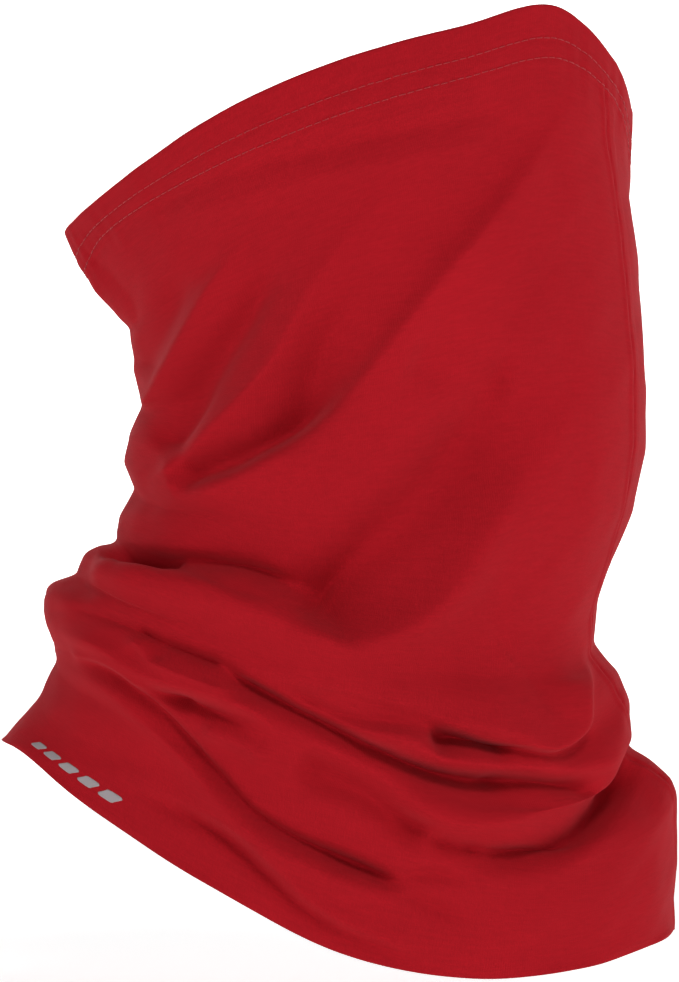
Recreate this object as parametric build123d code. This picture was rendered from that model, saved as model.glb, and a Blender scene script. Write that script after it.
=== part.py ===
"""Knitted neck gaiter, in the shape it takes when it is worn pulled up over the nose.

The gaiter is one rectangle of jersey, sewn into a tube by an overlocked back seam.
Its top edge is turned in and held by a twin-needle cover stitch, and its bottom edge
is cut clean. Millimetres, +Z up, the face towards -Y and the wearer's left side +X.
The origin is the middle of the neck opening, level with the lowest point of its edge.

A place on the cloth is an angle round the tube, 0 at the face and 180 at the nape,
and a distance along the cloth from the top edge.
"""

from build123d import *
import os
from collections import namedtuple
from math import cos, radians, sin

# ---- the cloth ----
FABRIC = 0.9  # thickness of the jersey
LAYER_GAP = 0.2  # air between two layers of cloth that lie on each other
LENGTH = 455.0  # finished length of the tube, along the cloth
NOSE_SHARPNESS = 0.45  # how much narrower than an ellipse a ring is at the nose
NOSE_FADES_BY = 150.0  # along the cloth, where the rings become elliptical

# ---- the top hem ----
HEM_DEPTH = 17.5  # cloth turned in
TURNING_STARTS = 0.6  # the turned-in layer, below the fold of the top edge
UPPER_ROW = 9.8  # needle rows, from the top edge
LOWER_ROW = 16.2
THREAD = 0.42  # diameter
THREAD_GAP = 0.12  # between a needle thread and the cloth
LOOPER_THICKNESS = 0.3
LOOPER_GAP = 0.1

# ---- the back seam ----
SEAM_TOP_ANGLE = 151.0  # the seam drifts round the tube from top to bottom
SEAM_BOTTOM_ANGLE = 177.0
SEAM_WIDTH = 6.0
SEAM_THICKNESS = 1.7  # two layers of cloth, pressed by the seam
SEAM_STARTS = 19.5  # below the turned-in hem
SEAM_END_GAP = 1.0  # from one layer's cut end to the next
SEAM_GAP = 0.35  # between the tube and the seam allowance, and the thread on that
NEEDLE_SHARES = (0.1, 0.34)  # where its needle threads lie, across its width
LOOPER_SHARES = (0.46, 0.97)

# ---- the care label ----
LABEL_FROM_TOP = 431.0  # its middle, along the cloth
LABEL_WIDTH = 20.0  # along the seam
LABEL_REACH = 26.0  # away from the seam
LABEL_THICKNESS = 0.3  # one layer of woven tape
LABEL_FOLD = 0.5  # half the gap between its two layers
LABEL_SEWN_END = 1.2  # where its cut ends are sewn together
LABEL_OFF_SEAM = 2.2  # from the seam allowance to the hinge line
LABEL_REST = 38.0  # degrees between the label and the X axis

# ---- the reflective mark ----
MARK_DASHES = 5
MARK_FIRST_ANGLE = 22.0
MARK_ANGLE_STEP = 5.6
MARK_DASH_ANGLE = 3.9  # width of a dash
MARK_SLANT = 0.3  # how far a dash leans from top to bottom, as a share of its width
MARK_TOP = 440.0  # along the cloth
MARK_BOTTOM = 446.5
MARK_THICKNESS = 0.15
MARK_GAP = 0.1

# ---- how finely the curved surfaces are drawn ----
SECTORS = 8  # faces round the tube
ARC_STEPS = 4  # steps in one sector
CLOTH_STEP = 7.0
BAND_STEPS = 5  # steps down the cloth in one face
STRIP_STEPS = 4  # steps across the seam or a dash
PROBE = 0.5  # millimetres or degrees between the points that give a normal

# A ring of cloth: how far it is from the top edge, where it crosses the front and the
# back of the tube, its half width, and its height at every 22.5 degrees from the face
# round to the nape. The wearer's right side mirrors the left.
Ring = namedtuple("Ring", "cloth front back half_width heights")
RINGS = [
    Ring(0, -98, 104, 73, (261, 268, 284, 303, 318, 329, 338, 320, 304)),
    Ring(18, -90, 104, 75, (247, 258, 271, 286, 300, 311, 319, 307, 287)),
    Ring(62, -75, 103, 76, (227, 230, 241, 256, 268, 276, 281, 276, 266)),
    Ring(105, -72, 105, 75, (210, 210, 216, 224, 232, 239, 244, 242, 237)),
    Ring(145, -71, 107, 73, (193, 191, 191, 195, 200, 206, 210, 209, 205)),
    Ring(185, -74, 104, 71, (173, 168, 164, 160, 160, 164, 169, 171, 171)),
    Ring(225, -81, 96, 70, (153, 148, 142, 133, 128, 127, 129, 132, 138)),
    Ring(270, -95, 93, 71, (140, 136, 127, 115, 106, 101, 98, 101, 109)),
    Ring(330, -104, 101, 71, (126, 120, 109, 95, 83, 75, 71, 78, 90)),
    Ring(380, -104, 109, 69, (108, 101, 89, 73, 60, 51, 48, 57, 69)),
    Ring(420, -109, 118, 67, (95, 88, 75, 56, 39, 28, 27, 35, 43)),
    Ring(LENGTH, -119, 119, 66, (80, 75, 60, 40, 15, 0.6, 7, 14, 16)),
]
RING_ANGLE = 22.5


def spline(before, start, end, after, share):
    """Catmull-Rom between start and end."""
    slope_in = (end - before) / 2
    slope_out = (after - start) / 2
    s2, s3 = share**2, share**3
    return (
        (2 * s3 - 3 * s2 + 1) * start
        + (s3 - 2 * s2 + share) * slope_in
        + (3 * s2 - 2 * s3) * end
        + (s3 - s2) * slope_out
    )


def ring_height(ring, angle):
    """Height of one ring at an angle. Both sides of the tube are alike."""
    turn = abs((angle + 180) % 360 - 180) / RING_ANGLE
    last = len(ring.heights) - 1
    start = min(int(turn), last - 1)
    before = ring.heights[abs(start - 1)]
    after = ring.heights[start + 2] if start + 2 <= last else ring.heights[last - 1]
    return spline(before, ring.heights[start], ring.heights[start + 1], after, turn - start)


def ring_point(ring, angle):
    turn = radians(angle)
    nose = NOSE_SHARPNESS * max(0, 1 - ring.cloth / NOSE_FADES_BY)
    sharpness = 1 + nose * (1 + cos(turn)) / 2
    across = abs(sin(turn)) ** sharpness
    middle, half_length = (ring.front + ring.back) / 2, (ring.back - ring.front) / 2
    return Vector(
        ring.half_width * across * (1 if sin(turn) >= 0 else -1),
        middle - half_length * cos(turn),
        ring_height(ring, angle),
    )


def on_outside(angle, cloth):
    """The point of the tube's outer face at an angle and a distance along the cloth."""
    start = max(i for i in range(len(RINGS) - 1) if cloth >= RINGS[i].cloth or i == 0)
    here, there = RINGS[start], RINGS[start + 1]
    share = (cloth - here.cloth) / (there.cloth - here.cloth)
    near, far = ring_point(here, angle), ring_point(there, angle)
    before = ring_point(RINGS[start - 1], angle) if start > 0 else near * 2 - far
    after = ring_point(RINGS[start + 2], angle) if start + 2 < len(RINGS) else far * 2 - near
    return spline(before, near, far, after, share)


def outward(angle, cloth):
    """Unit normal of the outer face, away from the tube."""
    round_it = on_outside(angle + PROBE, cloth) - on_outside(angle - PROBE, cloth)
    down_it = on_outside(angle, cloth + PROBE) - on_outside(angle, cloth - PROBE)
    return down_it.cross(round_it).normalized()


def under(angle, cloth, depth):
    """The point that lies depth under the outer face, or above it if depth is negative."""
    return on_outside(angle, cloth) - outward(angle, cloth) * depth


def evenly(first, last, steps):
    return [first + (last - first) * i / steps for i in range(steps + 1)]


def closed(faces):
    """The solid that a closed set of faces makes."""
    solid = Solid(Shell(Face.sew_faces(faces)[0]))
    return solid if solid.volume > 0 else Solid(Shell([-f for f in solid.faces()]))


def round_the_tube(angle, cloth):
    """The direction of the cloth round the tube."""
    step = on_outside(angle + PROBE, cloth) - on_outside(angle - PROBE, cloth)
    return step.normalized()


def arc(angles, cloth, depth):
    """Part of a ring, through the given angles."""
    points = [under(angle, cloth, depth) for angle in angles]
    tangents = [round_the_tube(angles[0], cloth), round_the_tube(angles[-1], cloth)]
    return Edge.make_spline(points, tangents=tangents, parameters=evenly(0, 1, len(angles) - 1))


def ring(cloth, depth):
    """A whole ring of the tube, as one arc for each sector."""
    corners = evenly(0, 360, SECTORS)
    sectors = [evenly(start, end, ARC_STEPS) for start, end in zip(corners, corners[1:])]
    return [arc(angles, cloth, depth) for angles in sectors]


def bands(first, last):
    """Groups of neighbouring distances along the cloth, each for one face."""
    count = max(1, round((last - first) / (CLOTH_STEP * BAND_STEPS)))
    levels = evenly(first, last, count)
    return [evenly(top, bottom, BAND_STEPS) for top, bottom in zip(levels, levels[1:])]


def sleeve(first, last, outer_depth, inner_depth):
    """A band of the tube all the way round, between two depths under its outer face."""
    faces = []
    for depth in (outer_depth, inner_depth):
        for cloths in bands(first, last):
            rings = [Wire(ring(cloth, depth)) for cloth in cloths]
            faces += Shell.make_loft(rings).faces()
    for cloth in (first, last):
        for outer, inner in zip(ring(cloth, outer_depth), ring(cloth, inner_depth)):
            faces.append(Face.make_surface_from_curves(outer, inner))
    return closed(faces)


def border(faces):
    """The edges that belong to only one of the faces."""
    edges = [edge for face in faces for edge in face.edges()]
    return [edge for edge in edges if sum(edge.is_same(other) for other in edges) == 1]


def slab(angles, first, last, outer_depth, inner_depth):
    """A piece of the tube, between two depths under its outer face."""
    skins = []
    for depth in (outer_depth, inner_depth):
        faces = []
        for cloths in bands(first, last):
            rows = [Wire([arc(angles(cloth), cloth, depth)]) for cloth in cloths]
            faces.append(Shell.make_loft(rows).face())
        skins.append(Face.sew_faces(faces)[0] if len(faces) > 1 else faces)
    rims = []
    for outer in border(skins[0]):
        inner = min(border(skins[1]), key=lambda edge: (edge @ 0.5 - outer @ 0.5).length)
        rims.append(Face.make_surface_from_curves(outer, inner))
    return closed([*skins[0], *skins[1], *rims])


def strand(path):
    """Sewing thread along a path."""
    start = Plane(origin=path @ 0, z_dir=path % 0)
    return sweep(start * Circle(THREAD / 2), path)


def seam_angle(cloth):
    return SEAM_TOP_ANGLE + (SEAM_BOTTOM_ANGLE - SEAM_TOP_ANGLE) * cloth / LENGTH


def angle_for(millimetres, angle, cloth):
    """How many degrees round the tube make a short length of cloth."""
    one = (on_outside(angle + PROBE, cloth) - on_outside(angle - PROBE, cloth)).length
    return millimetres * 2 * PROBE / one


def knit_tube():
    return sleeve(0, LENGTH, 0, FABRIC)


def top_hem_turning():
    """The edge that is turned in, as a second layer inside the tube."""
    depth = FABRIC + LAYER_GAP
    return sleeve(TURNING_STARTS, HEM_DEPTH, depth, depth + FABRIC)


def hem_needle_thread(cloth):
    """One needle thread of the cover stitch, which lies on the outside of the hem."""
    sectors = ring(cloth, -(THREAD / 2 + THREAD_GAP))
    half = SECTORS // 2
    return Compound([strand(Wire(sectors[:half])), strand(Wire(sectors[half:]))])


def hem_looper_thread():
    """The thread that zigzags between the needle rows inside, as the flat band it covers."""
    depth = 2 * FABRIC + LAYER_GAP + LOOPER_GAP
    return sleeve(UPPER_ROW, LOWER_ROW, depth, depth + LOOPER_THICKNESS)


def seam_band(first_share, last_share, outer_depth, inner_depth, first, last):
    """A strip that follows the back seam, between two shares of the seam's width."""

    def across(cloth):
        angle = seam_angle(cloth)
        width = angle_for(SEAM_WIDTH, angle, cloth)
        return evenly(angle + width * first_share, angle + width * last_share, STRIP_STEPS)

    return slab(across, first, last, outer_depth, inner_depth)


def back_seam_allowance():
    """The two edges that the back seam joins, pressed flat to one side inside the tube."""
    depth = FABRIC + SEAM_GAP
    return seam_band(0, 1, depth, depth + SEAM_THICKNESS, SEAM_STARTS, LENGTH - SEAM_END_GAP)


def seam_needle_thread(share):
    """One needle thread of the overlock seam, along the seam allowance."""
    depth = FABRIC + SEAM_THICKNESS + 2 * SEAM_GAP + THREAD / 2
    first, last = SEAM_STARTS + SEAM_END_GAP, LENGTH - 2 * SEAM_END_GAP
    points = []
    for cloth in evenly(first, last, round((last - first) / CLOTH_STEP)):
        angle = seam_angle(cloth)
        angle += angle_for(SEAM_WIDTH, angle, cloth) * share
        points.append(under(angle, cloth, depth))
    return strand(Edge.make_spline(points))


def seam_looper_thread():
    """The overlock threads that wrap the raw edges, as the flat band they cover."""
    depth = FABRIC + SEAM_THICKNESS + 2 * SEAM_GAP
    first, last = SEAM_STARTS + SEAM_END_GAP, LENGTH - 2 * SEAM_END_GAP
    return seam_band(*LOOPER_SHARES, depth, depth + LOOPER_THICKNESS, first, last)


def label_hinge():
    """The line that the care label swings about: straight up, beside the seam allowance."""
    depth = FABRIC + SEAM_GAP + SEAM_THICKNESS + LABEL_OFF_SEAM
    angle = seam_angle(LABEL_FROM_TOP)
    angle += angle_for(SEAM_WIDTH, angle, LABEL_FROM_TOP)
    return under(angle, LABEL_FROM_TOP, depth)


def care_label():
    """A blank woven tape, folded double, whose cut ends are caught in the back seam."""
    half = LABEL_FOLD + LABEL_THICKNESS
    with BuildSketch() as folded:
        with Locations((LABEL_REACH / 2, 0)):
            Rectangle(LABEL_REACH, 2 * half)
        with Locations((LABEL_REACH, 0)):
            Circle(half)
        with Locations((LABEL_REACH / 2, 0)):
            Rectangle(LABEL_REACH, 2 * LABEL_FOLD, mode=Mode.SUBTRACT)
        with Locations((LABEL_REACH, 0)):
            Circle(LABEL_FOLD, mode=Mode.SUBTRACT)
        with Locations((LABEL_SEWN_END / 2, 0)):
            Rectangle(LABEL_SEWN_END, 2 * half)
    label = extrude(folded.sketch, LABEL_WIDTH)
    label = Rot(0, 0, 180 + LABEL_REST) * label
    return Pos(*(label_hinge() - Vector(0, 0, LABEL_WIDTH / 2))) * label


def reflective_mark():
    """A heat-transfer print of plain slanted dashes, near the bottom edge."""
    dashes = []
    for i in range(MARK_DASHES):
        first = MARK_FIRST_ANGLE + i * MARK_ANGLE_STEP

        def across(cloth, first=first):
            slant = (cloth - MARK_TOP) / (MARK_BOTTOM - MARK_TOP) * MARK_DASH_ANGLE * MARK_SLANT
            return evenly(first - slant, first - slant + MARK_DASH_ANGLE, STRIP_STEPS)

        dashes.append(slab(across, MARK_TOP, MARK_BOTTOM, -MARK_GAP - MARK_THICKNESS, -MARK_GAP))
    return Compound(dashes)


NODES = {
    "knit_tube": knit_tube(),
    "top_hem_turning": top_hem_turning(),
    "hem_needle_thread_upper": hem_needle_thread(UPPER_ROW),
    "hem_needle_thread_lower": hem_needle_thread(LOWER_ROW),
    "hem_looper_thread": hem_looper_thread(),
    "back_seam_allowance": back_seam_allowance(),
    "seam_needle_thread_inner": seam_needle_thread(NEEDLE_SHARES[0]),
    "seam_needle_thread_outer": seam_needle_thread(NEEDLE_SHARES[1]),
    "seam_looper_thread": seam_looper_thread(),
    "care_label": care_label(),
    "reflective_mark": reflective_mark(),
}

os.makedirs("parts", exist_ok=True)
for name, solid in NODES.items():
    export_step(solid, f"parts/{name}.step")

print("care label hinge", [round(c, 2) for c in label_hinge()])
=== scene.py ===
"""Knitted neck gaiter, worn pulled up over the nose, with the folds that wearing gives it.

Lengths of the cloth and of the studio's floor are millimetres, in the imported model's
frame: +Z up, the face towards -Y and the wearer's left side +X. make_mesh turns them into
Blender's metres. The lights and the camera are in metres.
"""

import math
from collections import namedtuple

import bpy
import numpy as np
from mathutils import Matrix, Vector


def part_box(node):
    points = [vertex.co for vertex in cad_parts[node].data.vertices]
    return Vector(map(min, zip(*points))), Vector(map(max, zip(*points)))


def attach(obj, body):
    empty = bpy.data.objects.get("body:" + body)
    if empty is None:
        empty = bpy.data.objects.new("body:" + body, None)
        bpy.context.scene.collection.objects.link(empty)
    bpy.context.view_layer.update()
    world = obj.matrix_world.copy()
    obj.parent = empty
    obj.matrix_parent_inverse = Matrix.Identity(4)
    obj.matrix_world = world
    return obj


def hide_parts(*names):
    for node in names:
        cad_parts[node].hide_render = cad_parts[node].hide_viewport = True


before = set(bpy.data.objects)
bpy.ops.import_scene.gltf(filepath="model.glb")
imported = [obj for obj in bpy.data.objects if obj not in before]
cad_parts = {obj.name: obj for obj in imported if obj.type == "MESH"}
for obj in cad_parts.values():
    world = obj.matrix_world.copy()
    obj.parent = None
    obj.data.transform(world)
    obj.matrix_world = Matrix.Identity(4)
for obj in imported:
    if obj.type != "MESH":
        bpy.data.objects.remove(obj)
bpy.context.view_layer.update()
rng = np.random.default_rng(7)  # lets the hem's needle stitches wander

# ---------------------------------------------------------------- the cloth's shape
LENGTH = 455.0
AROUND = 480  # vertices round the tube
DOWN = 430  # vertices down it
FABRIC = 0.9
RING_ANGLE = 22.5

# Distance from the top edge, half width, and height at every 22.5 degrees from the
# face round to the nape.
RINGS = [
    (0, 73, (265, 271.5, 287, 306.5, 322, 333, 341.5, 325, 307)),
    (18, 75, (249, 262, 275, 289, 303, 314, 322, 310, 290)),
    (62, 76, (229, 232, 243, 258, 270, 278, 283, 278, 268)),
    (105, 75, (212, 212, 218, 226, 234, 241, 246, 244, 239)),
    (145, 73, (195, 193, 193, 197, 202, 208, 212, 211, 207)),
    (185, 72, (176, 171, 167, 162, 162, 166, 171, 173, 173)),
    (225, 71, (156, 151, 145, 136, 130, 129, 131, 134, 140)),
    (270, 72, (142, 137, 129, 117, 107, 102, 99, 102, 110)),
    (330, 72, (127, 121, 110, 96, 84, 76, 72, 79, 91)),
    (380, 70, (110, 102, 90, 74, 61, 52, 49, 58, 70)),
    (420, 68, (97, 89, 76, 57, 40, 29, 28, 36, 44)),
    (455, 66, (83.9, 80, 60.5, 36.5, 13, 3.5, 6, 12.5, 17)),
]

# The side view's outline: height, and how far forward or back the cloth reaches.
FRONT = [
    (275, -98), (265, -98.2), (254, -93.5), (244, -88), (231, -75.8), (219, -75),
    (204, -69.8), (193, -75.5), (183, -77.2), (174, -72.6), (164, -78.6), (155, -79.5),
    (153.5, -87), (151, -90.5), (146, -92.5), (142.5, -94), (141, -102), (138, -105),
    (130, -106), (119, -102.5), (112, -101.5), (98, -108), (84, -120.8), (0, -120.8),
]
BACK = [
    (345, 94), (320, 99), (308, 104), (277, 103.2), (259, 106), (209, 109.4),
    (187, 108.8), (166, 104.4), (143, 95), (134, 92), (119, 90.3), (109, 99),
    (98, 103), (90, 102), (83, 102), (78, 109.5), (71, 118), (66, 120),
    (40, 120), (27, 119), (0, 119.6),
]

# Folds on the wearer's left, as lines in the side view (y, z). Each is a ridge, or a
# valley if its height is negative. Its height comes first, then its width above the line
# and the one below. Some also say how sharp the crest is, how far it droops, and what
# share of the length fades out at the front end and at the back end.
Fold = namedtuple(
    "Fold", "line height above below sharp droop fade", defaults=(1.8, 0, (0.16, 0.16))
)
FOLDS = [
    # the taut fold from the back of the head to the chin, and its neighbours
    Fold([(80, 308), (64, 285), (51, 268), (35, 249), (18, 227), (3, 207), (-12, 194), (-32, 184),
          (-55, 177), (-71, 174)], 6.5, 2.7, 18, sharp=1.3, droop=1.2, fade=(0.12, 0.3)),
    Fold([(27, 257), (10, 243), (-3, 228), (-10, 213), (-20, 198), (-34, 187)],
         -8.5, 7, 12, sharp=2, fade=(0.3, 0.7)),
    Fold([(4, 208), (-7, 202), (-21, 192.5), (-37, 183.5), (-58, 176.5)],
         -11.0, 6, 3.2, fade=(0.1, 0.45)),
    Fold([(16, 274), (2, 260), (-11.5, 240), (-20, 223), (-32, 207), (-44.5, 193.5), (-58, 181.5),
          (-69, 177)], 4.5, 4.5, 4.5, sharp=1.5, droop=0.5, fade=(0.1, 0.6)),
    Fold([(-16, 258), (-24, 249), (-37, 229), (-48, 211.5), (-58, 196), (-65, 186)],
         -7.0, 5.5, 6, sharp=2, fade=(0.1, 0.35)),
    Fold([(-30, 262), (-38, 253), (-51, 232), (-62, 213), (-69, 200)],
         4.0, 4, 5, sharp=1.5, droop=0.5, fade=(0.1, 0.35)),
    Fold([(-52, 250), (-62, 233), (-72, 214)], -3.5, 6, 5, sharp=2, fade=(0.1, 0.4)),
    Fold([(-91, 257), (-82, 249), (-75, 240), (-73, 229)], -1.4, 4, 3, sharp=1.5),
    Fold([(63, 306), (49, 281), (28, 256)], -2.0, 12, 8, sharp=2),
    # the slack below it
    Fold([(74, 214), (60, 205), (40, 184), (21, 163), (5, 149), (-12, 130)],
         -13, 12, 16, sharp=2, fade=(0.06, 0.35)),
    Fold([(14, 158), (2, 146), (-14, 129)], -3.5, 7, 7, sharp=2.2, fade=(0.1, 0.7)),
    Fold([(22, 221), (42, 214), (62, 210)], -4.0, 10, 9, sharp=2),
    Fold([(77, 198), (63, 177), (47, 153), (37, 140), (28, 131), (16, 124.5), (4.5, 122.5),
          (-12, 125.5), (-24, 130), (-35.5, 134.5), (-47, 138), (-64, 141), (-89, 148)],
         8.0, 7, 10, sharp=1.7, droop=1.5, fade=(0.05, 0.4)),
    Fold([(-86, 150), (-74, 150), (-61, 149.5), (-47, 149), (-33, 147), (-20, 141), (-11, 131)],
         -6.5, 2.6, 3.4, sharp=1.6, fade=(0.08, 0.3)),
    Fold([(-78, 149.5), (-68, 149), (-57, 147)], -4.0, 2.2, 3.2, sharp=1.6),
    Fold([(-62, 150), (-40, 148), (-22, 142), (-8, 131)], -6.5, 15, 3.2, fade=(0.35, 0.1)),
    # the rolls that the chin and the collar push up
    Fold([(-100, 133), (-78, 128), (-69, 124), (-44, 114), (-31, 110)],
         -3.0, 3, 3, sharp=1.6, fade=(0.3, 0.16)),
    Fold([(-72, 126), (-66, 122), (-62, 113)], -3.0, 2.5, 2),
    Fold([(-64, 121), (-56, 118), (-42, 113)], -3.0, 3, 2, sharp=1.6),
    Fold([(-76, 118), (-70, 120), (-64, 114), (-49, 108), (-34, 103)], 3.5, 3.5, 2.5, sharp=1.6),
    Fold([(-44, 113), (-27, 103), (-9, 94), (12, 84), (34, 75), (57, 71), (80, 72)],
         -9, 2.0, 3.6, fade=(0.12, 0.5)),
    Fold([(18, 81), (36, 74.5), (50, 72), (62, 72)], -4.5, 2.5, 3.6, fade=(0.4, 0.2)),
    Fold([(-32, 113), (-14, 108), (8, 104), (21, 101), (38, 96)],
         3.0, 10, 3, droop=0.5, fade=(0.4, 0.3)),
    Fold([(-22, 105), (-14, 102), (0, 96), (16, 93), (28, 91.5)], -3.6, 2.4, 3, fade=(0.3, 0.3)),
    Fold([(24, 98), (36, 95), (45, 93), (59, 90), (73, 88), (80, 93), (82, 103), (84, 117)],
         10.0, 17, 4, sharp=1.7, droop=5.0, fade=(0.35, 0.16)),
    Fold([(30, 86), (45, 89), (60, 85)], -9.5, 4, 4.5, sharp=2),
    Fold([(-3, 96), (21, 88), (38, 81), (63, 78), (84, 78), (97, 86), (100, 98)],
         6.0, 4.5, 4.5, sharp=2, droop=0.5),
    Fold([(48, 73), (66, 72), (87, 69)], -5.0, 2.5, 2.5),
    Fold([(-3, 80), (21, 67), (45, 59), (63, 60), (77, 64), (90, 71), (99, 82)],
         6.5, 7, 4.5, sharp=2, droop=1.5, fade=(0.4, 0.1)),
    Fold([(-17, 79), (-2, 74), (14, 66), (24, 58), (32, 51)],
         -6.5, 6, 6, sharp=2.4, fade=(0.15, 0.16)),
    Fold([(38, 50), (47, 48), (59, 47), (77, 51), (92, 64), (101, 80)],
         -12.0, 3.5, 5.5, sharp=2, fade=(0.35, 0.1)),
    Fold([(30, 53), (40, 49.5), (50, 48)], -3, 3, 3, sharp=2),
    Fold([(-98, 111), (-83, 105), (-64, 90), (-46, 72), (-30, 56), (-12, 44.5), (9, 35), (22, 30)],
         3.0, 3, 5, sharp=1.7),
    Fold([(-104, 118), (-93, 115), (-83, 111), (-64, 96), (-47, 79), (-31, 62.5), (-12, 50.5),
          (9, 41), (24, 35)], -5.0, 2.0, 1.8, sharp=1.6, fade=(0.45, 0.1)),
    Fold([(-20, 54), (-6, 48), (9, 41.5), (24, 36)], -5.0, 3.2, 3.2, fade=(0.5, 0.3)),
    Fold([(18, 39.5), (30, 40.5), (46, 37.5)], -2.6, 2.6, 3, fade=(0.2, 0.5)),
    Fold([(22, 34), (34, 28), (46, 23)], -2.4, 3.2, 3, fade=(0.2, 0.5)),
    Fold([(-64, 103), (-58, 101), (-50, 98), (-40, 94), (-27, 88)],
         -5.5, 3, 2.4, sharp=1.6, fade=(0.25, 0.7)),
    Fold([(-66, 103.5), (-58, 100.5), (-52, 98)], -2.5, 2.4, 2.4),
    Fold([(-100, 124), (-84, 119), (-66, 109), (-49, 104), (-30, 97), (-19, 88)],
         4.5, 4, 3.5, sharp=1.6),
    Fold([(-96, 116), (-80, 113), (-66, 104)], 2.5, 2.2, 2.2, sharp=1.6),
    Fold([(-48, 92), (-34, 86), (-24, 80)], 3.0, 4, 4),
    Fold([(-75, 70), (-57, 61.5), (-40, 52.5), (-26, 40), (-14, 28.5), (0, 19), (14, 13), (24, 9)],
         -3.0, 2.6, 2.4, sharp=1.6, fade=(0.3, 0.05)),
    Fold([(-66, 71), (-53, 65), (-37, 57), (-23, 45), (-11, 33), (3, 23.5), (17, 17), (28, 12)],
         3.2, 9, 2.6, sharp=1.5, droop=0.8, fade=(0.3, 0.1)),
    # the faint pull beside the hem
    Fold([(-78, 268), (-35, 284), (7, 294), (35, 300), (63, 307)], -1.3, 3, 3),
    Fold([(-60, 266), (-10, 281), (30, 289), (60, 297)], 1.1, 4, 4),
]

# ---------------------------------------------------------------- hem, seam, label and mark
HEM_DEPTH = 17.5
NEEDLE_ROWS = (9.8, 16.2)  # distances from the top edge
HEM_PITCH = 3.1

SEAM_TOP_ANGLE = 152.0
SEAM_BOTTOM_ANGLE = 177.0
SEAM_WIDTH = 6.0
SEAM_THREADS_END = LENGTH - 4

LABEL_HINGE = (-0.7, 113.75)  # where the hinge line stands, across and along
LABEL_LEAN = 218.0  # degrees from +X that the tape points at rest
LABEL_REACH = 26.0
LABEL_HALF_GAP = 0.5
LABEL_TAPE = 0.3

MARK_COUNT = 5
MARK_START = 22.0  # degrees round the tube from the face
MARK_STEP = 5.6
MARK_WIDE = 3.9
MARK_TOP, MARK_BOTTOM = 437.5, 444.0  # distances from the top edge
MARK_SLANT = 0.3


def smooth_between(values, places, at):
    """Catmull-Rom through values at uneven places, read at other places."""
    values, places, at = np.asarray(values, float), np.asarray(places, float), np.asarray(at, float)
    slope = np.gradient(values, places, axis=0)
    i = np.clip(np.searchsorted(places, at, side="right") - 1, 0, len(places) - 2)
    gap = (places[i + 1] - places[i]).reshape((-1,) + (1,) * (values.ndim - 1))
    t = (at - places[i]).reshape(gap.shape) / gap
    t2, t3 = t * t, t * t * t
    return (
        (2 * t3 - 3 * t2 + 1) * values[i]
        + (t3 - 2 * t2 + t) * gap * slope[i]
        + (3 * t2 - 2 * t3) * values[i + 1]
        + (t3 - t2) * gap * slope[i + 1]
    )


def outline(table, heights):
    """How far the outline reaches at each height, with its corners softened."""
    steps, margin, spread, half_kernel = 1200, 5, 3.5, 20
    z, reach = (np.array(column, float) for column in zip(*table))
    order = np.argsort(z)
    fine = np.linspace(z.min() - margin, z.max() + margin, steps)
    line = np.interp(fine, z[order], reach[order])
    kernel = np.exp(-0.5 * (np.arange(-half_kernel, half_kernel + 1) / spread) ** 2)
    padded = np.pad(line, half_kernel, mode="edge")
    line = np.convolve(padded, kernel / kernel.sum(), mode="valid")
    return np.interp(heights, fine, line)


def base_surface(cloths, angles):
    """The tube without its folds, as an array of points."""
    nose_point, nose_length = 0.45, 150
    turns = np.abs((angles + 180) % 360 - 180)
    table = np.array([heights for _, _, heights in RINGS], float)
    wide = np.concatenate([table[:, 2:0:-1], table, table[:, -2:-4:-1]], axis=1)
    places = (np.arange(wide.shape[1]) - 2) * RING_ANGLE
    rings = smooth_between(wide.T, places, turns).T
    ring_cloth = [cloth for cloth, _, _ in RINGS]
    z = smooth_between(rings, ring_cloth, cloths)
    width = smooth_between([half for _, half, _ in RINGS], ring_cloth, cloths)
    front = outline(FRONT, z[:, np.argmin(turns)])
    back = outline(BACK, z[:, np.argmax(turns)])
    turn = np.radians(angles)[None, :]
    middle, half_length = ((front + back) / 2)[:, None], ((back - front) / 2)[:, None]
    # the front narrows towards the nose, and is round again below the chin
    nose = nose_point * np.clip(1 - cloths / nose_length, 0, 1)[:, None]
    across = np.abs(np.sin(turn)) ** (1 + nose * (1 + np.cos(turn)) / 2)
    x = width[:, None] * across * np.sign(np.sin(turn))
    y = middle - half_length * np.cos(turn)
    return np.stack([x, y, z], axis=2)


def normals_of(points):
    """Unit normals of a grid that is closed round the tube, away from the tube."""
    round_it = np.roll(points, -1, axis=1) - np.roll(points, 1, axis=1)
    down_it = np.gradient(points, axis=0)
    normal = np.cross(down_it, round_it)
    return normal / np.maximum(np.linalg.norm(normal, axis=2, keepdims=True), 1e-9)


def relax(points, rounds):
    """Evens a grid out, and leaves its two edges where they are."""
    for _ in range(rounds):
        near = (np.roll(points, 1, axis=1) + np.roll(points, -1, axis=1)) / 2
        mean = near.copy()
        mean[1:-1] = (near[1:-1] + (points[:-2] + points[2:]) / 2) / 2
        mean[0], mean[-1] = points[0], points[-1]
        points = points + (mean - points) * 0.5
    return points


def smooth_line(corners, steps=10):
    """A fold's line as closely spaced points, always towards the back."""
    corners = np.array(corners if corners[0][0] <= corners[-1][0] else corners[::-1], float)
    places = np.concatenate([[0], np.cumsum(np.linalg.norm(np.diff(corners, axis=0), axis=1))])
    at = np.linspace(0, places[-1], steps * (len(corners) - 1) + 1)
    return smooth_between(corners, places, at), at / places[-1]


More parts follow.
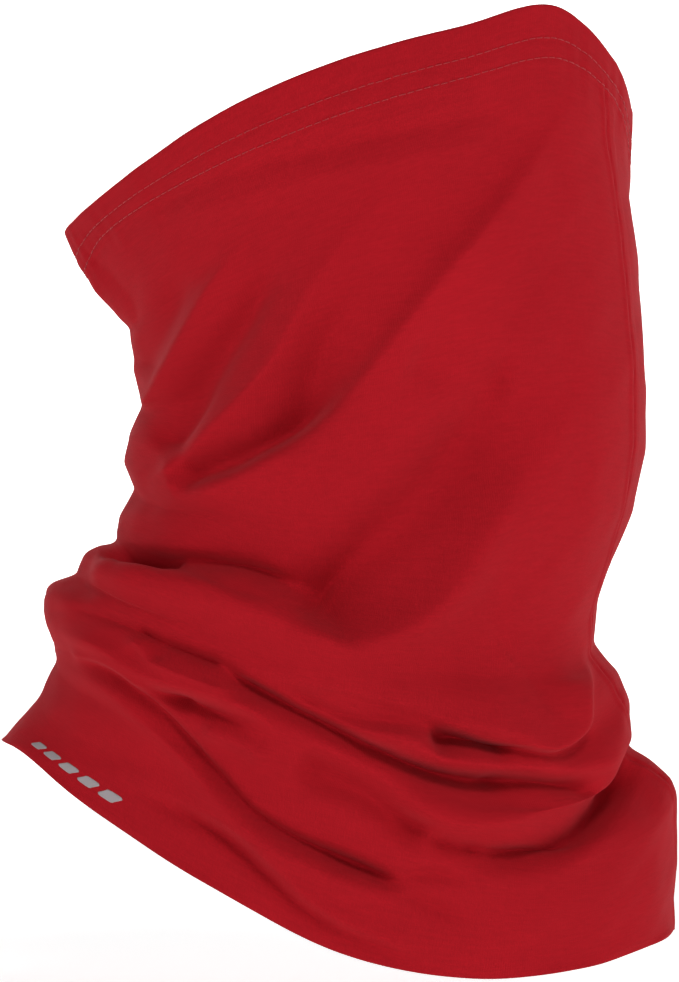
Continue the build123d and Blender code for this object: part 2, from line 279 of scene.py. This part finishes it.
def fold_shift(flat, fold):
    """Height and droop that one fold gives to points of the side view."""
    widths_reached = 3.2
    left_at_ends = 0.1
    line, along = smooth_line(fold.line)
    reach = widths_reached * max(fold.above, fold.below)
    near = ((flat > line.min(axis=0) - reach) & (flat < line.max(axis=0) + reach)).all(axis=1)
    rise, fall = np.zeros(len(flat)), np.zeros(len(flat))
    flat = flat[near]
    best = np.full(len(flat), np.inf)
    side = np.zeros(len(flat))  # 1 above the line, -1 below it, between them round its ends
    share = np.zeros(len(flat))
    for i in range(len(line) - 1):
        start, step = line[i], line[i + 1] - line[i]
        off = flat - start
        t = np.clip(off @ step / (step @ step), 0, 1)
        gap = off - t[:, None] * step
        distance = np.hypot(gap[:, 0], gap[:, 1])
        closer = distance < best
        best[closer] = distance[closer]
        cross = (step[0] * off[:, 1] - step[1] * off[:, 0]) / np.hypot(*step)
        side[closer] = np.clip(cross / np.maximum(distance, 1e-6), -1, 1)[closer]
        share[closer] = (along[i] + (along[i + 1] - along[i]) * t)[closer]
    width = (fold.above + fold.below) / 2 + side * (fold.above - fold.below) / 2
    profile = np.exp(-((best / width) ** fold.sharp))
    ends = smoothstep(0, fold.fade[0], share) * smoothstep(0, fold.fade[1], 1 - share)
    profile *= left_at_ends + (1 - left_at_ends) * ends
    rise[near], fall[near] = profile * fold.height, profile * fold.droop
    return rise, fall


def mirrored_variant(fold, k):
    """The same fold on the wearer's right, where it falls a little differently."""
    most_lift, most_slide, half_depth, widening = 3.5, 4.0, 125, 1.1
    lift = most_lift * math.sin(k * 2.4 + 1.0)
    slide = most_slide * math.sin(k * 1.7)
    moved = [(y + slide * (1 - abs(y) / half_depth), z + lift) for y, z in fold.line]
    scale = 0.85 + 0.2 * math.sin(k * 3.1)
    return fold._replace(
        line=moved,
        height=fold.height * scale,
        droop=fold.droop * scale,
        above=fold.above * widening,
        below=fold.below * widening,
    )


def smoothstep(low, high, value):
    """0 up to low, 1 from high on, and a smooth rise between them."""
    t = np.clip((value - low) / (high - low), 0, 1)
    return t * t * (3 - 2 * t)


def seam_angle(cloth):
    """Where the back seam runs, which isn't quite straight down the nape."""
    return SEAM_TOP_ANGLE + (SEAM_BOTTOM_ANGLE - SEAM_TOP_ANGLE) * np.asarray(cloth) / LENGTH


def folded_surface(cloths, angles):
    """The tube with its folds, which die out towards its two edges."""
    top_fade, bottom_fade = 30, 16
    points = base_surface(cloths, angles)
    normal = normals_of(relax(points, 30))
    flat = points[:, :, 1:].reshape(-1, 2)
    shape = points.shape[:2]
    left = smoothstep(-0.3, 0.3, np.sin(np.radians(angles)))[None, :] * np.ones(shape)
    height, droop = np.zeros(shape), np.zeros(shape)
    for k, fold in enumerate(FOLDS):
        for weight, one in ((left, fold), (1 - left, mirrored_variant(fold, k))):
            rise, fall = fold_shift(flat, one)
            height += weight * rise.reshape(shape)
            droop += weight * fall.reshape(shape)
    edge = smoothstep(0, top_fade, cloths) * smoothstep(0, bottom_fade, LENGTH - cloths)
    points = points + normal * (height * edge[:, None])[:, :, None]
    points[:, :, 2] -= droop * edge[:, None]
    return relax(points, 2)


def add_small_relief(points, cloths, angles):
    """The hem's grooves and pucker, the back seam's line, and the cloth's unevenness."""
    normal = normals_of(points)
    cloth, angle = cloths[:, None], angles[None, :]
    turn = np.radians(angle)
    relief = np.zeros(points.shape[:2])

    def bump(away, width):
        return np.exp(-((away / width) ** 2))

    # the hem: two stitched grooves, the doubled cloth, and its pucker
    groove_depth, groove_width, doubled = 0.3, 1.0, 0.35
    for row in NEEDLE_ROWS:
        relief -= groove_depth * bump(cloth - row, groove_width)
    relief += doubled * (1 - smoothstep(HEM_DEPTH, HEM_DEPTH + 1.5, cloth))
    waves, wave_height = ((37, 0.4), (61, 2.1), (83, 4.0)), 0.09
    pucker = sum(np.sin(turn * n + phase + cloth * 0.05) * wave_height for n, phase in waves)
    relief += pucker * bump(cloth - sum(NEEDLE_ROWS) / 2, 12)

    # the back seam: a ridge on one side of a sharp groove, and its allowance showing through
    arc_per_degree = 1.55
    off_seam = (angle - seam_angle(cloth)) * arc_per_degree
    below_hem = smoothstep(8, 20, cloth)
    relief += (0.55 * bump(off_seam + 1.6, 1.6) - 0.7 * bump(off_seam, 0.8)) * below_hem
    relief += 0.35 * (np.abs(off_seam - 3.4) < 3.2) * below_hem

    # slow waves all over, each with a count round the tube, a rate down it and a height
    for n, rate, size in ((9, 0.055, 0.22), (14, 0.083, 0.16), (23, 0.031, 0.12), (31, 0.12, 0.08)):
        down = np.sin(cloth * rate * 1.7 + n * 0.6)
        relief += size * np.sin(turn * n + cloth * rate + n) * down
    # the cut bottom edge curls a little in and out
    relief += 0.5 * bump(LENGTH - cloth, 3.0) * np.sin(turn * 11 + 1.3)
    return points + normal * relief[:, :, None]


cloths = np.linspace(0, LENGTH, DOWN)
angles = np.arange(AROUND) * 360.0 / AROUND
surface = add_small_relief(folded_surface(cloths, angles), cloths, angles)
surface_normal = normals_of(relax(surface, 2))


def on_cloth(angle, cloth, depth=0.0):
    """Points under the outer face, at angles and distances along the cloth."""
    angle, cloth, depth = np.broadcast_arrays(
        np.asarray(angle, float), np.asarray(cloth, float), np.asarray(depth, float)
    )
    u = (angle % 360) / 360 * AROUND
    v = np.clip(cloth / LENGTH * (DOWN - 1), 0, DOWN - 1)
    i, j = np.floor(v).astype(int), np.floor(u).astype(int)
    fv, fu = (v - i)[..., None], (u - j)[..., None]
    i2, j, j2 = np.minimum(i + 1, DOWN - 1), j % AROUND, (j + 1) % AROUND

    def blend(grid):
        top = grid[i, j] * (1 - fu) + grid[i, j2] * fu
        low = grid[i2, j] * (1 - fu) + grid[i2, j2] * fu
        return top * (1 - fv) + low * fv

    normal = blend(surface_normal)
    normal /= np.linalg.norm(normal, axis=-1, keepdims=True)
    return blend(surface) - normal * depth[..., None]


def make_mesh(name, vertices, faces, uvs=None):
    """vertices in millimetres. uvs has one pair for each vertex."""
    mesh = bpy.data.meshes.new(name)
    mesh.from_pydata((np.asarray(vertices) / 1000).tolist(), [], faces)
    mesh.update()
    if uvs is not None:
        layer = mesh.uv_layers.new(name="cloth")
        index = np.empty(len(mesh.loops), dtype=np.int32)
        mesh.loops.foreach_get("vertex_index", index)
        layer.data.foreach_set("uv", np.asarray(uvs, np.float32)[index].ravel())
    mesh.polygons.foreach_set("use_smooth", [True] * len(mesh.polygons))
    obj = bpy.data.objects.new(name, mesh)
    bpy.context.collection.objects.link(obj)
    return obj


def grid_faces(rows, columns, closed, first=0, flip=False):
    """Four-sided faces over a grid of vertices, which starts at vertex first."""
    faces = []
    for i in range(rows - 1):
        for j in range(columns if closed else columns - 1):
            k = (j + 1) % columns
            face = (
                first + i * columns + j,
                first + (i + 1) * columns + j,
                first + (i + 1) * columns + k,
                first + i * columns + k,
            )
            faces.append(face[::-1] if flip else face)
    return faces


def thick_sheet(outer, inner, closed):
    """A watertight skin round two faces of a sheet, which are grids of points."""
    count, columns = outer.shape[:2]
    vertices = np.concatenate([outer.reshape(-1, 3), inner.reshape(-1, 3)])
    half = count * columns
    faces = grid_faces(count, columns, closed) + grid_faces(count, columns, closed, half, True)
    for row in (0, count - 1):
        for j in range(columns if closed else columns - 1):
            a, b = row * columns + j, row * columns + (j + 1) % columns
            face = (a, b, half + b, half + a)
            faces.append(face if row == 0 else face[::-1])
    if not closed:
        for column in (0, columns - 1):
            for i in range(count - 1):
                a, b = i * columns + column, (i + 1) * columns + column
                face = (a, half + a, half + b, b)
                faces.append(face if column == 0 else face[::-1])
    return vertices, faces


def knit_tube():
    """The tube, whose top edge is rounded over the turned-in hem."""
    inner = surface - surface_normal * FABRIC
    # the fold at the top runs from the outer face over to the turned-in layer
    over = []
    up_it = surface[0] - surface[2]
    up_it /= np.linalg.norm(up_it, axis=1, keepdims=True)
    radius = FABRIC + 0.1
    for turn in range(180, 0, -30):
        t = math.radians(turn)
        inward, upward = radius * (1 - math.cos(t)), radius * math.sin(t)
        over.append(surface[0] - surface_normal[0] * inward + up_it * upward)
    outer = np.concatenate([np.array(over), surface])
    rows = len(outer)
    vertices = np.concatenate([outer.reshape(-1, 3), inner.reshape(-1, 3)])
    faces = grid_faces(rows, AROUND, True)
    first = rows * AROUND
    faces += grid_faces(DOWN, AROUND, True, first, True)
    last_outer, last_inner = first - AROUND, first + (DOWN - 1) * AROUND
    for j in range(AROUND):
        k = (j + 1) % AROUND
        faces.append((j, k, first + k, first + j))
        faces.append((last_outer + k, last_outer + j, last_inner + j, last_inner + k))
    step = np.linalg.norm(np.roll(surface, -1, axis=1) - surface, axis=2).mean()
    u = np.arange(AROUND) * step / 1000
    v_outer = np.concatenate([np.linspace(-0.004, 0, len(over)), cloths / 1000])
    uv_outer = np.stack(np.meshgrid(u, v_outer), axis=2).reshape(-1, 2)
    uv_inner = np.stack(np.meshgrid(u, cloths / 1000), axis=2).reshape(-1, 2)
    return make_mesh("gaiter_cloth", vertices, faces, np.concatenate([uv_outer, uv_inner]))


def patch(name, angle_grid, cloth_grid, outer_depth, inner_depth, closed=False):
    """A closed slab that follows the cloth."""
    arc_per_degree = 1.45
    angle_grid, cloth_grid = np.broadcast_arrays(angle_grid, cloth_grid)
    outer = on_cloth(angle_grid, cloth_grid, outer_depth)
    inner = on_cloth(angle_grid, cloth_grid, inner_depth)
    vertices, faces = thick_sheet(outer, inner, closed)
    uv = np.stack([angle_grid * arc_per_degree, cloth_grid], axis=2).reshape(-1, 2) / 1000
    return make_mesh(name, vertices, faces, np.concatenate([uv, uv]))


def tubes(name, centre_lines, radius, sides=6):
    """Round threads along several lines of points, as one mesh. The ends are closed."""
    vertices, faces = [], []
    for line in centre_lines:
        line = np.asarray(line)
        tangent = np.gradient(line, axis=0)
        tangent /= np.linalg.norm(tangent, axis=1, keepdims=True)
        # any direction that is never along the tangent will do
        up = np.cross(tangent, np.roll(tangent, 1, axis=1) + [0.3, 0.1, 0.9])
        up /= np.linalg.norm(up, axis=1, keepdims=True)
        other = np.cross(tangent, up)
        first = len(vertices)
        for point, a, b in zip(line, up, other):
            for k in range(sides):
                turn = 2 * math.pi * k / sides
                vertices.append(point + radius * (a * math.cos(turn) + b * math.sin(turn)))
        for i in range(len(line) - 1):
            for k in range(sides):
                m = (k + 1) % sides
                a, b = first + i * sides, first + (i + 1) * sides
                faces.append((a + k, a + m, b + m, b + k))
        faces.append(tuple(first + k for k in range(sides))[::-1])
        faces.append(tuple(first + (len(line) - 1) * sides + k for k in range(sides)))
    return make_mesh(name, np.array(vertices), faces)


def even_angles(cloth, pitch):
    """Angles that are a pitch apart along a ring of the cloth, and their mean step."""
    fine = np.linspace(0, 360, 1441)
    points = on_cloth(fine, cloth)
    run = np.concatenate([[0], np.cumsum(np.linalg.norm(np.diff(points, axis=0), axis=1))])
    count = round(run[-1] / pitch)
    return np.interp(np.arange(count) * run[-1] / count, run, fine), 360 * pitch / run[-1]


def hem_stitches(name, cloth):
    """The straight stitches that one needle leaves on the outside."""
    # each stitch rises out of the cloth, lies on it and sinks in again
    shares = np.array([0.04, 0.14, 0.32, 0.5, 0.68, 0.86, 0.96])
    sink = np.array([0.35, 0.02, -0.14, -0.18, -0.14, 0.02, 0.35])
    starts, _ = even_angles(cloth, HEM_PITCH)
    ends = np.append(starts[1:], 360.0)
    lines = []
    for start, end in zip(starts, ends):
        wander = rng.normal(0, 0.05)
        lines.append(on_cloth(start + (end - start) * shares, cloth + wander, sink))
    return tubes(name, lines, 0.17)


def hem_looper():
    """The zigzag between the needle rows, on the inside of the hem."""
    high, low = NEEDLE_ROWS
    starts, step = even_angles(low, HEM_PITCH)
    shares = np.linspace(0, 1, 6)
    depth = 2 * FABRIC + 0.4 + 0.22 * np.sin(shares * math.pi)
    lines = []
    for start in starts:
        for first, row, next_row in ((start, low, high), (start + step / 2, high, low)):
            angle = first + step / 2 * shares
            lines.append(on_cloth(angle, row + (next_row - row) * shares, depth))
    return tubes("hem_looper", lines, 0.19, 5)


def seam_width_angle(cloth, millimetres):
    """The angle that a distance beside the back seam takes."""
    here, there = on_cloth(seam_angle(cloth), cloth), on_cloth(seam_angle(cloth) + 1, cloth)
    return millimetres / np.linalg.norm(there - here, axis=-1)


def seam_allowance():
    """The two raw edges, pressed flat to one side, with a slight crown on the inside."""
    start, end, rows, columns = HEM_DEPTH + 2, LENGTH - 1, 300, 6
    cloth = np.linspace(start, end, rows)
    width = seam_width_angle(cloth, SEAM_WIDTH)
    shares = np.linspace(0, 1, columns)
    angle = seam_angle(cloth)[:, None] + width[:, None] * shares
    crown = 0.25 * np.cos((shares - 0.5) * math.pi)
    return patch("seam_allowance", angle, cloth[:, None], FABRIC + 0.05, FABRIC + 1.7 + crown)


def seam_needle(name, share):
    """One needle's stitches, at a share of the seam's width from its line."""
    along = np.array([-1.35, -1.0, 0, 1.0, 1.35])
    depth = np.array([2.6, 2.95, 3.1, 2.95, 2.6])
    lines = []
    for cloth in np.arange(HEM_DEPTH + 4, SEAM_THREADS_END, 3.4):
        run = cloth + along
        angle = seam_angle(run) + seam_width_angle(run, SEAM_WIDTH * share)
        lines.append(on_cloth(angle, run, depth))
    return tubes(name, lines, 0.2, 5)


def seam_looper():
    """The overlock's loops, which run out over the raw edges."""
    shares = np.array([0.3, 0.45, 0.65, 0.85, 1.02, 1.05])
    depth = np.array([2.85, 3.05, 3.1, 3.05, 2.6, 1.4])
    lines = []
    for cloth in np.arange(HEM_DEPTH + 3.5, SEAM_THREADS_END, 1.7):
        run = cloth + shares * 0.9
        angle = seam_angle(run) + seam_width_angle(run, SEAM_WIDTH) * shares
        lines.append(on_cloth(angle, run, depth))
    return tubes("seam_looper", lines, 0.17, 5)


def care_label():
    """The blank folded tape. It leans the way its solid in the model does."""
    rows, columns, turn_columns, turn_end = 14, 14, 6, 0.4
    wave_height, bow_height = 0.9, 0.75
    low, high = (np.array(corner) * 1000 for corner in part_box("care_label"))
    lean = math.radians(LABEL_LEAN)
    along = np.array([math.cos(lean), math.sin(lean), 0])
    aside = np.array([-along[1], along[0], 0])
    start = np.array([*LABEL_HINGE, 0])

    # out along one layer, round the folded end, and back along the other layer
    profile = [(reach, LABEL_HALF_GAP) for reach in np.linspace(0, LABEL_REACH, columns)]
    for t in np.linspace(turn_end, math.pi - turn_end, turn_columns):
        beyond, side = LABEL_HALF_GAP * math.sin(t), LABEL_HALF_GAP * math.cos(t)
        profile.append((LABEL_REACH + beyond, side))
    profile += [(reach, -LABEL_HALF_GAP) for reach in np.linspace(LABEL_REACH, 0, columns)]

    outer, inner = [], []
    for share in np.linspace(0, 1, rows):
        height = np.array([0, 0, low[2] + (high[2] - low[2]) * share])
        bow = bow_height * math.sin(share * math.pi)
        row_out, row_in = [], []
        for reach, side in profile:
            out = reach / LABEL_REACH
            wave = (wave_height * math.sin(2.6 * out) + bow * out) * out
            base = start + along * reach + aside * (side + wave) + height
            outward = math.copysign(0.9 if abs(side) > 0.1 else 0.3, side)
            row_in.append(base)
            row_out.append(base + LABEL_TAPE * (aside * outward + along * (reach > LABEL_REACH)))
        outer.append(row_out)
        inner.append(row_in)
    vertices, faces = thick_sheet(np.array(outer), np.array(inner), False)
    return make_mesh("label_tape", vertices, faces)


def reflective_mark():
    """Plain slanted dashes, printed on the cloth."""
    proud, sunk = -0.13, 0.3
    # columns across a dash, and how much its rounded ends lose of its height there
    across = np.array([0.0, 0.04, 0.12, 0.3, 0.5, 0.7, 0.88, 0.96, 1.0])
    lost = np.array([0.45, 0.2, 0.05, 0, 0, 0, 0.05, 0.2, 0.45])
    down = np.linspace(0, 1, 9)[:, None]
    middle, half = (MARK_TOP + MARK_BOTTOM) / 2, (MARK_BOTTOM - MARK_TOP) / 2
    cloth = middle + (2 * down - 1) * half * (1 - lost)
    all_vertices, all_faces = [], []
    for i in range(MARK_COUNT):
        angle = MARK_START + i * MARK_STEP + MARK_WIDE * (across - MARK_SLANT * down)
        vertices, faces = thick_sheet(
            on_cloth(angle, cloth, proud), on_cloth(angle, cloth, sunk), False
        )
        first = len(all_vertices)
        all_vertices += list(vertices)
        all_faces += [tuple(first + v for v in face) for face in faces]
    return make_mesh("reflective_dashes", np.array(all_vertices), all_faces)


# ---------------------------------------------------------------- materials
def new_material(name, colour, roughness, sheen=0.0):
    """A plain material, with its nodes, its links and its shader."""
    material = bpy.data.materials.new(name)
    material.use_nodes = True
    shader = material.node_tree.nodes["Principled BSDF"]
    shader.inputs["Base Color"].default_value = (*colour, 1)
    shader.inputs["Roughness"].default_value = roughness
    shader.inputs["Sheen Weight"].default_value = sheen
    return material, material.node_tree.nodes, material.node_tree.links, shader


def jersey_material(name, colour, sheen):
    """Brushed jersey: fine wales, uneven yarn, and a soft bloom at the rim."""
    material, nodes, links, shader = new_material(name, colour, 0.85, sheen)
    shader.inputs["Sheen Roughness"].default_value = 0.45
    shader.inputs["Sheen Tint"].default_value = (1.0, 0.2, 0.22, 1)
    shader.inputs["Specular IOR Level"].default_value = 0.08
    uv = nodes.new("ShaderNodeUVMap")
    uv.uv_map = "cloth"

    def noise(scale, stretch, detail):
        """Unevenness in the cloth's own metres, drawn out round the tube by the stretch."""
        mapping = nodes.new("ShaderNodeMapping")
        mapping.inputs["Scale"].default_value = (*stretch, 1)
        links.new(uv.outputs["UV"], mapping.inputs["Vector"])
        texture = nodes.new("ShaderNodeTexNoise")
        texture.inputs["Scale"].default_value = scale
        texture.inputs["Detail"].default_value = detail
        links.new(mapping.outputs["Vector"], texture.inputs["Vector"])
        return texture.outputs["Fac"]

    def ramp(value, low, high):
        """Spreads the middle of a noise between two shades."""
        spread = nodes.new("ShaderNodeMapRange")
        spread.inputs["From Min"].default_value = 0.3
        spread.inputs["From Max"].default_value = 0.7
        spread.inputs["To Min"].default_value = low
        spread.inputs["To Max"].default_value = high
        links.new(value, spread.inputs["Value"])
        return spread.outputs["Result"]

    def multiply(a, b):
        node = nodes.new("ShaderNodeMath")
        node.operation = "MULTIPLY"
        links.new(a, node.inputs[0])
        links.new(b, node.inputs[1])
        return node.outputs["Value"]

    slubs = ramp(noise(110, (1, 6), 3), 0.94, 1.05)
    yarns = ramp(noise(420, (1, 3.2), 2), 0.95, 1.05)
    clouds = ramp(noise(14, (1, 1), 2), 0.95, 1.05)
    shade = multiply(multiply(slubs, yarns), clouds)
    tint = nodes.new("ShaderNodeVectorMath")
    tint.operation = "SCALE"
    tint.inputs[0].default_value = colour
    links.new(shade, tint.inputs["Scale"])
    links.new(tint.outputs["Vector"], shader.inputs["Base Color"])

    wales = nodes.new("ShaderNodeTexWave")
    wales.wave_type = "BANDS"
    wales.bands_direction = "X"
    wales.inputs["Scale"].default_value = 420
    wales.inputs["Distortion"].default_value = 1.4
    wales.inputs["Detail Scale"].default_value = 3
    links.new(uv.outputs["UV"], wales.inputs["Vector"])
    fine = nodes.new("ShaderNodeMath")
    fine.operation = "MULTIPLY_ADD"
    links.new(wales.outputs["Fac"], fine.inputs[0])
    fine.inputs[1].default_value = 0.35
    links.new(noise(700, (1, 2.5), 2), fine.inputs[2])
    bump = nodes.new("ShaderNodeBump")
    bump.inputs["Strength"].default_value = 0.35
    bump.inputs["Distance"].default_value = 0.0004
    links.new(fine.outputs["Value"], bump.inputs["Height"])
    links.new(bump.outputs["Normal"], shader.inputs["Normal"])
    return material


RED = (0.352, 0.0056, 0.0116)
jersey = jersey_material("jersey", RED, 0.14)
thread_material = new_material("thread", (0.37, 0.008, 0.015), 0.6, 0.12)[0]
tape_material = new_material("label_tape", (0.78, 0.78, 0.76), 0.5, 0.1)[0]
print_material = new_material("reflective_print", (0.31, 0.27, 0.28), 0.45)[0]


# ---------------------------------------------------------------- the pieces
def take_on(obj, material, slot, body, *nodes):
    """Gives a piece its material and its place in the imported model."""
    obj.data.materials.append(material)
    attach(obj, body)
    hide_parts(*nodes)
    return obj


tube = take_on(knit_tube(), jersey, "jersey", "gaiter", "knit_tube")
hem_outer, hem_inner = FABRIC + 0.15, 2 * FABRIC + 0.15
hem_cloth = np.linspace(0.4, HEM_DEPTH, 14)[:, None]
hem = patch("hem_turning", angles[None, :], hem_cloth, hem_outer, hem_inner, True)
take_on(hem, jersey, "jersey", "gaiter", "top_hem_turning")
take_on(seam_allowance(), jersey, "jersey", "gaiter", "back_seam_allowance")
for obj, node in (
    (hem_stitches("hem_stitches_upper", NEEDLE_ROWS[0]), "hem_needle_thread_upper"),
    (hem_stitches("hem_stitches_lower", NEEDLE_ROWS[1]), "hem_needle_thread_lower"),
    (hem_looper(), "hem_looper_thread"),
    (seam_needle("seam_stitches_inner", 0.1), "seam_needle_thread_inner"),
    (seam_needle("seam_stitches_outer", 0.34), "seam_needle_thread_outer"),
    (seam_looper(), "seam_looper_thread"),
):
    take_on(obj, thread_material, "thread", "gaiter", node)
label = take_on(care_label(), tape_material, "label_tape", "label", "care_label")
take_on(reflective_mark(), print_material, "reflective_print", "gaiter", "reflective_mark")


# ---------------------------------------------------------------- studio
def studio_material(name, glow):
    material, _, _, shader = new_material(name, (0.93, 0.93, 0.93), 0.9)
    shader.inputs["Specular IOR Level"].default_value = 0.0
    shader.inputs["Emission Color"].default_value = (1, 1, 1, 1)
    shader.inputs["Emission Strength"].default_value = glow
    return material


def cyclorama():
    """A pale floor that curves up into a backdrop well behind the object, and low walls."""
    floor, near_floor, half_wide = -12.0, 1400.0, 9000.0
    back, front, bend = -6000.0, 9000.0, 800.0
    backdrop_top, wall_top = 5000.0, 1100.0
    profile = [(front, floor), (near_floor, floor), (-near_floor, floor), (back + bend, floor)]
    for turn in range(10, 91, 10):
        t = math.radians(turn)
        profile.append((back + bend * (1 - math.sin(t)), floor + bend * (1 - math.cos(t))))
    profile.append((back, backdrop_top))
    vertices = [(x, y, z) for x, z in profile for y in (-half_wide, half_wide)]
    faces = [(2 * i, 2 * i + 1, 2 * i + 3, 2 * i + 2) for i in range(len(profile) - 1)]
    first = len(vertices)
    corners = ((back, -half_wide), (front, -half_wide), (front, half_wide), (back, half_wide))
    for x, y in corners:
        vertices += [(x, y, floor), (x, y, wall_top)]
    faces += [(first + i, first + i + 1, first + i + 3, first + i + 2) for i in (0, 2, 4)]
    obj = make_mesh("studio", np.array(vertices), faces)
    obj.data.materials.append(studio_material("studio_floor", 0.68))
    obj.data.materials.append(studio_material("studio_backdrop", 0.97))
    # the floor under the object and in front of it glows less, so that it takes a shadow
    for polygon in obj.data.polygons:
        polygon.material_index = 0 if polygon.index < 2 else 1
    return obj


LIT_POINT = Vector((0, 0, 0.17))


def area_light(name, place, size, power):
    """A round soft light that points at the middle of the object."""
    light = bpy.data.lights.new(name, "AREA")
    light.shape = "DISK"
    light.size = size
    light.energy = power
    obj = bpy.data.objects.new(name, light)
    bpy.context.collection.objects.link(obj)
    obj.location = place
    direction = LIT_POINT - Vector(place)
    obj.rotation_euler = direction.to_track_quat("-Z", "Y").to_euler()


studio = cyclorama()
area_light("key", (1.6, 0.45, 1.65), 0.7, 16.5)
area_light("fill_back", (0.3, 1.7, 0.6), 1.0, 3.5)
area_light("fill_front", (1.2, -1.5, 0.5), 1.2, 4.2)

world = bpy.data.worlds.new("studio_air")
bpy.context.scene.world = world
world.use_nodes = True
air = world.node_tree.nodes["Background"]
air.inputs["Color"].default_value = (1, 1, 1, 1)
air.inputs["Strength"].default_value = 0.11

bpy.context.scene.view_settings.view_transform = "Standard"
bpy.context.scene.view_settings.look = "None"

# the camera looks along -X at the wearer's left side, and its frame just holds the object
CAMERA_DISTANCE = 2.2
FRAME_HEIGHT = 0.3507
FRAME_MIDDLE = (-0.0002, 0.1729)  # y and z
SENSOR = 36
camera_data = bpy.data.cameras.new("camera")
camera_data.sensor_width = SENSOR
camera_data.lens = SENSOR * CAMERA_DISTANCE / FRAME_HEIGHT
camera = bpy.data.objects.new("camera", camera_data)
bpy.context.collection.objects.link(camera)
camera.location = (CAMERA_DISTANCE, *FRAME_MIDDLE)
camera.rotation_euler = (math.radians(90), 0, math.radians(90))
bpy.context.scene.camera = camera
